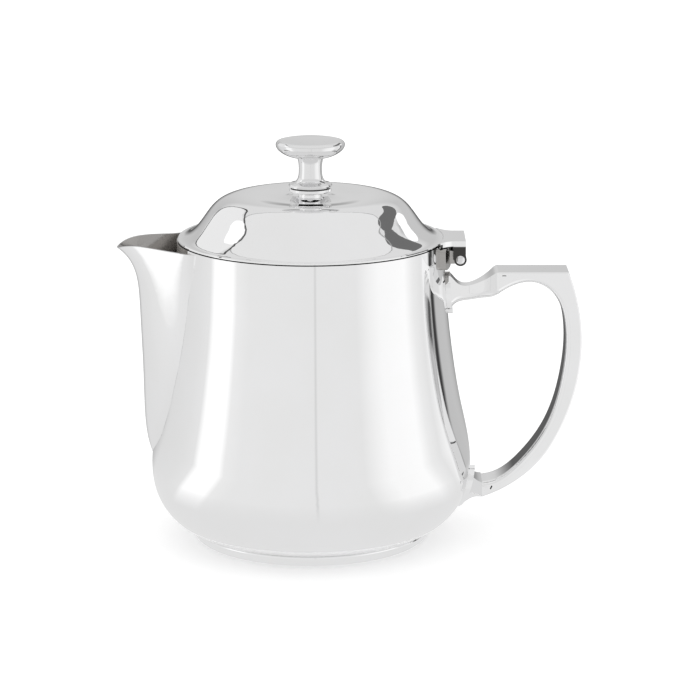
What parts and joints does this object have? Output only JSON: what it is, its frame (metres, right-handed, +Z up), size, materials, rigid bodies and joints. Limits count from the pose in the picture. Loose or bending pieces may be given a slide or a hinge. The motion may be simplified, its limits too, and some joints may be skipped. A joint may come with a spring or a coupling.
{
  "type": "teapot",
  "caption": "Polished steel teapot with an open pouring beak, a hollow C-shaped handle and a domed lid on a pinned hinge.",
  "frame": {"origin": "centre of the face that the foot ring stands on", "axes": "+Z up through the knob, +X towards the handle, -X towards the spout, +Y completes the right-handed set"},
  "size_m": [0.1571, 0.109, 0.1377],
  "materials": {
    "polished_steel": "mirror-polished stainless steel",
    "pin_steel": "drawn and polished pin",
    "screw_steel": "turned, unpolished",
    "insulator": "black heat-resistant washer"
  },
  "bodies": {
    "pot": {"body_shell": "polished_steel", "foot_ring": "polished_steel", "spout": "polished_steel", "hinge_bracket": "polished_steel", "hinge_pin": "pin_steel", "handle_near_half": "polished_steel", "handle_far_half": "polished_steel", "handle_upper_mount": "polished_steel", "handle_lower_mount": "polished_steel"},
    "lid": {"lid_shell": "polished_steel", "lid_collar": "polished_steel", "lid_hinge_leaf": "polished_steel", "knob_boss": "polished_steel", "knob_insulator": "insulator", "knob": "polished_steel", "knob_screw_washer": "screw_steel", "knob_screw": "screw_steel"}
  },
  "joints": [
    {"name": "lid_hinge", "type": "hinge", "parent": "pot", "child": "lid", "pos_m": [0.0503, 0, 0.0983], "axis": [0, 1, 0], "range_deg": [0, 110]}
  ]
}
